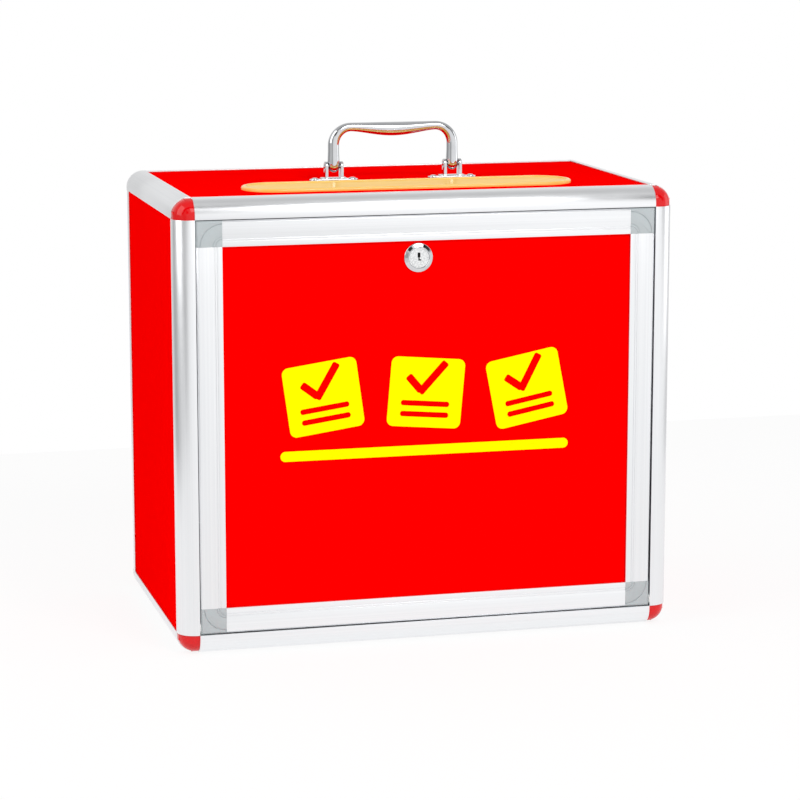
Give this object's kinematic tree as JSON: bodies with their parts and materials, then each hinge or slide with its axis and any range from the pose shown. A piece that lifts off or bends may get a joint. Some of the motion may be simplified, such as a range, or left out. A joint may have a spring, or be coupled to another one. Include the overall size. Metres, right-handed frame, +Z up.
{
  "type": "ballot box",
  "caption": "Portable ballot box: red sheet panels in an aluminium edge frame, slotted top insert, folding carrying handle, and a drop-down front door with a cam lock.",
  "frame": {"origin": "middle of the footprint, on the surface that the box stands on", "axes": "+X to the right as seen from the door side, +Y from the door towards the back, +Z up"},
  "size_m": [0.45, 0.2551, 0.4524],
  "materials": {
    "aluminium": "satin silver anodised extrusion",
    "red_sheet": "bright red coated sheet with a smooth half-gloss face",
    "red_plastic": "glossy red moulded plastic",
    "grey_plastic": "fine-textured grey moulded plastic",
    "cream_plastic": "golden cream moulded plastic, smooth",
    "chrome": "bright chrome plate",
    "rivet_steel": "plain zinc-plated steel",
    "white_plastic": "pale moulded plastic"
  },
  "bodies": {
    "box": {"profile_front_left": "aluminium", "profile_front_right": "aluminium", "profile_front_bottom": "aluminium", "profile_front_top": "aluminium", "profile_side_bottom_left": "aluminium", "profile_side_bottom_right": "aluminium", "profile_side_top_left": "aluminium", "profile_side_top_right": "aluminium", "profile_back_left": "aluminium", "profile_back_right": "aluminium", "profile_back_bottom": "aluminium", "profile_back_top": "aluminium", "corner_cap_bottom_left": "red_plastic", "corner_cap_bottom_right": "red_plastic", "corner_cap_top_left": "red_plastic", "corner_cap_top_right": "red_plastic", "panel_left": "red_sheet", "panel_right": "red_sheet", "panel_bottom": "red_sheet", "panel_top": "red_sheet", "panel_back": "red_sheet", "slot_insert": "cream_plastic", "handle_washers": "rivet_steel", "handle_bracket_left": "chrome", "handle_bracket_right": "chrome", "handle_pin_left": "chrome", "handle_pin_right": "chrome", "handle_rivets": "chrome", "pivot_bush_left": "white_plastic", "pivot_bush_right": "white_plastic"},
    "door": {"door_rail_bottom": "aluminium", "door_rail_top": "aluminium", "door_stile_left": "aluminium", "door_stile_right": "aluminium", "door_corner_bottom_left": "grey_plastic", "door_corner_bottom_right": "grey_plastic", "door_corner_top_left": "grey_plastic", "door_corner_top_right": "grey_plastic", "door_panel": "red_sheet", "pivot_pin_left": "rivet_steel", "pivot_pin_right": "rivet_steel", "lock_housing": "chrome", "lock_nut": "chrome"},
    "lock_core": {"lock_plug": "chrome", "lock_cam": "chrome", "lock_cam_screw": "rivet_steel"},
    "handle": {"handle_grip": "chrome"}
  },
  "joints": [
    {"name": "door_swing", "type": "hinge", "parent": "box", "child": "door", "pos_m": [0, -0.123, 0.0244], "axis": [1, 0, 0], "range_deg": [0, 92]},
    {"name": "lock_turn", "type": "hinge", "parent": "door", "child": "lock_core", "pos_m": [-0.01, -0.112, 0.3436], "axis": [0, -1, 0], "range_deg": [0, 90]},
    {"name": "handle_fold", "type": "hinge", "parent": "box", "child": "handle", "pos_m": [0, 0.003, 0.4119], "axis": [1, 0, 0], "range_deg": [-90, 90]}
  ]
}
